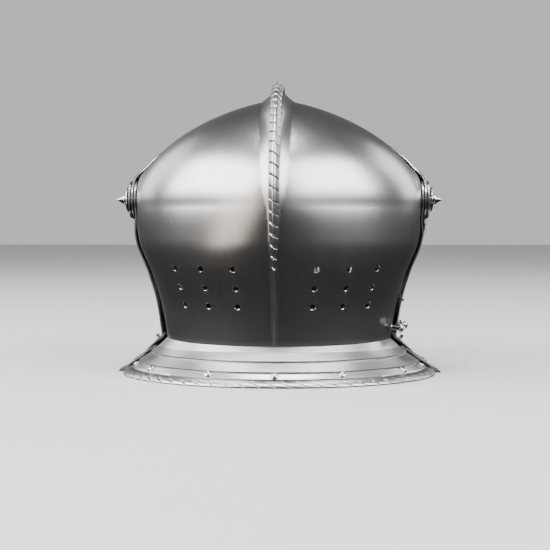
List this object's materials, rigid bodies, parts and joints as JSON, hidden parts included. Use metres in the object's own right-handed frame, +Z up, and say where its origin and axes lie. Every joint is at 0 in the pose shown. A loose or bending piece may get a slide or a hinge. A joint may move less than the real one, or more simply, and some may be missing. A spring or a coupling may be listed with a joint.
{
  "type": "close helmet",
  "caption": "Knight's close helmet with roped comb, pivoting visor and two-part bevor, flared laminated collar with roped rim, locking hooks and quilted lining.",
  "frame": {"origin": "middle of the collar's footprint, on the plane the collar stands on", "axes": "+X to the wearer's right along the visor pivots, +Y the way the wearer faces, +Z up"},
  "size_m": [0.304, 0.3011, 0.269],
  "materials": {
    "steel": "satin, brushed by hand",
    "rivet_steel": "polished",
    "dark_steel": "plain",
    "leather": "waxed",
    "linen": "quilted"
  },
  "bodies": {
    "skull_body": {"liner_cap": "linen", "lining_band": "leather", "nape_lame_lower": "steel", "nape_lame_middle": "steel", "nape_lame_upper": "steel", "nape_leather_1": "leather", "nape_leather_2": "leather", "nape_leather_3": "leather", "nape_rim_rivet_1": "rivet_steel", "nape_rim_rivet_2": "rivet_steel", "nape_rim_rivet_3": "rivet_steel", "nape_rim_rivet_4": "rivet_steel", "nape_rim_rivet_5": "rivet_steel", "nape_rim_rivet_6": "rivet_steel", "nape_rim_rivet_7": "rivet_steel", "neck_hook_stud": "rivet_steel", "pivot_bolt_left": "rivet_steel", "pivot_bolt_right": "rivet_steel", "pivot_nut_left": "dark_steel", "pivot_nut_right": "dark_steel", "pivot_rosette_left": "rivet_steel", "pivot_rosette_right": "rivet_steel", "skull": "steel"},
    "lower_bevor_body": {"bevor_hook_knob": "rivet_steel", "chin_pad": "linen", "edge_rivet": "rivet_steel", "gorget_lame_lower": "steel", "gorget_lame_middle": "steel", "gorget_lame_upper": "steel", "gorget_leather_1": "leather", "gorget_leather_2": "leather", "gorget_leather_3": "leather", "gorget_rim_rivet_1": "rivet_steel", "gorget_rim_rivet_2": "rivet_steel", "gorget_rim_rivet_3": "rivet_steel", "gorget_rim_rivet_4": "rivet_steel", "gorget_rim_rivet_5": "rivet_steel", "gorget_rim_rivet_6": "rivet_steel", "gorget_rim_rivet_7": "rivet_steel", "lower_bevor": "steel", "neck_hook_knob": "rivet_steel", "waist_rivet_left": "rivet_steel", "waist_rivet_right": "rivet_steel"},
    "upper_bevor_body": {"upper_bevor": "steel", "bevor_hook_stud": "rivet_steel"},
    "visor_body": {"visor": "steel", "visor_peg": "rivet_steel"},
    "neck_hook_body": {"neck_hook": "steel"},
    "bevor_hook_body": {"bevor_hook": "steel"}
  },
  "joints": [
    {"name": "lower_bevor_hinge", "type": "hinge", "parent": "skull_body", "child": "lower_bevor_body", "pos_m": [0, -0.0205, 0.161], "axis": [1, 0, 0], "range_deg": [0, 32]},
    {"name": "upper_bevor_hinge", "type": "hinge", "parent": "lower_bevor_body", "child": "upper_bevor_body", "pos_m": [0, -0.0205, 0.161], "axis": [1, 0, 0], "range_deg": [0, 15]},
    {"name": "visor_hinge", "type": "hinge", "parent": "upper_bevor_body", "child": "visor_body", "pos_m": [0, -0.0205, 0.161], "axis": [1, 0, 0], "range_deg": [0, 22]},
    {"name": "neck_hook_pivot", "type": "hinge", "parent": "lower_bevor_body", "child": "neck_hook_body", "pos_m": [0.1137, 0.00265, 0.04314], "axis": [-0.9886, 0.0436, 0.1441], "range_deg": [0, 32]},
    {"name": "bevor_hook_pivot", "type": "hinge", "parent": "lower_bevor_body", "child": "bevor_hook_body", "pos_m": [0.08442, 0.06389, 0.05798], "axis": [0.6128, 0.6831, -0.3973], "range_deg": [0, 22]}
  ]
}
